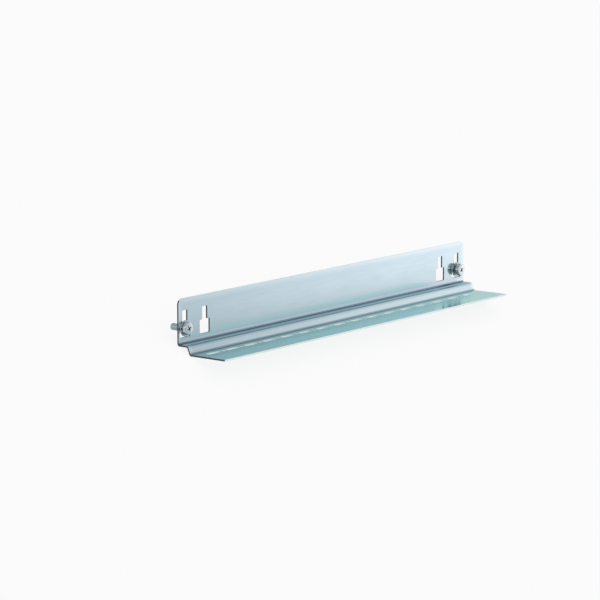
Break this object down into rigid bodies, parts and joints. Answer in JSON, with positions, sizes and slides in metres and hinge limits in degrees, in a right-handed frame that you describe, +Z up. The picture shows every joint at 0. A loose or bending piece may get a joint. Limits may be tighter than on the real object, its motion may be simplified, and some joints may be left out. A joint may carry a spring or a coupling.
{
  "type": "guide rail",
  "caption": "Bent sheet-steel guide rail for an equipment rack: an upright web with keyholes, a stepped ledge, a shelf with a row of slots and holes, and a mounting screw at each end",
  "frame": {"origin": "on the floor below the middle of the part's box, as the rail comes to rest leaning back on its two lower bends", "axes": "+Y along the rail from its near end to its far end, +X away from the web towards the shelf's free edge, +Z up"},
  "size_m": [0.068, 0.417, 0.0351],
  "materials": {
    "sheet_zinc": "bluish zinc plating on cold-rolled sheet, satin",
    "screw_zinc": "bright zinc plating",
    "washer_zinc": "zinc plating, satin"
  },
  "bodies": {
    "root": {"rail": "sheet_zinc", "screw_near": "screw_zinc", "screw_far": "screw_zinc", "washer_near": "washer_zinc", "washer_far": "washer_zinc"}
  },
  "joints": []
}
